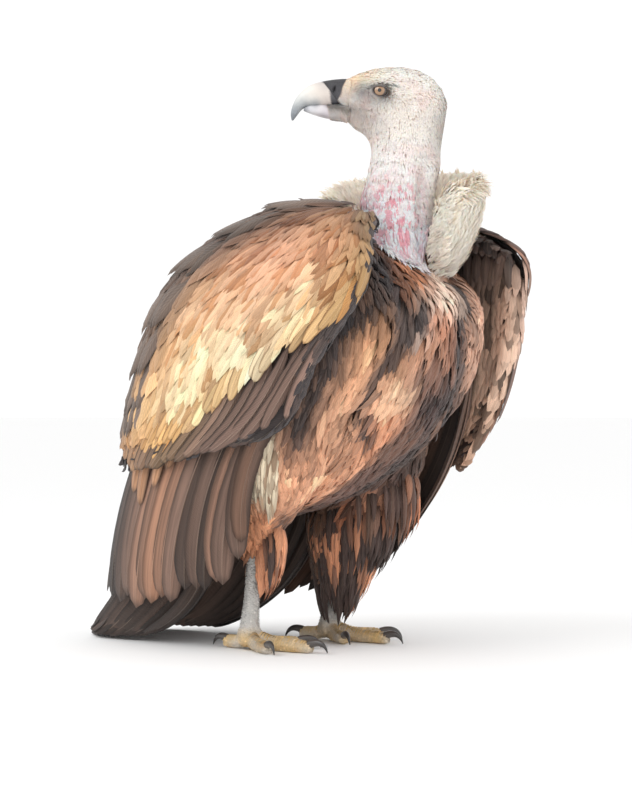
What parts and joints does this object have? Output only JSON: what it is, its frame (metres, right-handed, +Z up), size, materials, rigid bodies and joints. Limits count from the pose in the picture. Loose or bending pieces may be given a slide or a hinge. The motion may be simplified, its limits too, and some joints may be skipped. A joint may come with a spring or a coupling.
{
  "type": "griffon vulture",
  "caption": "Life-size still model of a griffon vulture standing with folded, drooping wings and its head turned back over its shoulder.",
  "frame": {"origin": "on the floor under the middle of the whole bird, seen from above", "axes": "+Z up, the breast faces -Y and the tail lies towards +Y, the bird's right side is at -X"},
  "size_m": [0.3628, 0.5402, 0.6801],
  "materials": {
    "down": "soft off-white down",
    "ruff": "fluffy cream ruff feathers",
    "body_feathers": "pointed red-brown body feathers",
    "coverts": "buff and brown rounded coverts",
    "flight_feathers": "dark brown flight feathers",
    "bill_horn": "smooth pale horn",
    "cere_skin": "bare charcoal skin",
    "leg_scales": "finely scaled grey skin",
    "claw_horn": "dark horn",
    "eye": "wet amber-brown eye"
  },
  "bodies": {
    "root": {"trunk": "body_feathers", "neck": "down", "head": "down", "cere": "cere_skin", "bill_upper": "bill_horn", "bill_lower": "bill_horn", "eye_right": "eye", "eye_left": "eye", "ruff": "ruff", "mantle": "coverts", "tail": "flight_feathers", "wing_right_coverts": "coverts", "wing_right_secondaries": "flight_feathers", "wing_right_primaries": "flight_feathers", "thigh_right": "body_feathers", "tarsus_right": "leg_scales", "foot_right": "leg_scales", "claw_middle_right": "claw_horn", "claw_inner_right": "claw_horn", "claw_outer_right": "claw_horn", "claw_hind_right": "claw_horn", "wing_left_coverts": "coverts", "wing_left_secondaries": "flight_feathers", "wing_left_primaries": "flight_feathers", "thigh_left": "body_feathers", "tarsus_left": "leg_scales", "foot_left": "leg_scales", "claw_middle_left": "claw_horn", "claw_inner_left": "claw_horn", "claw_outer_left": "claw_horn", "claw_hind_left": "claw_horn"}
  },
  "joints": []
}
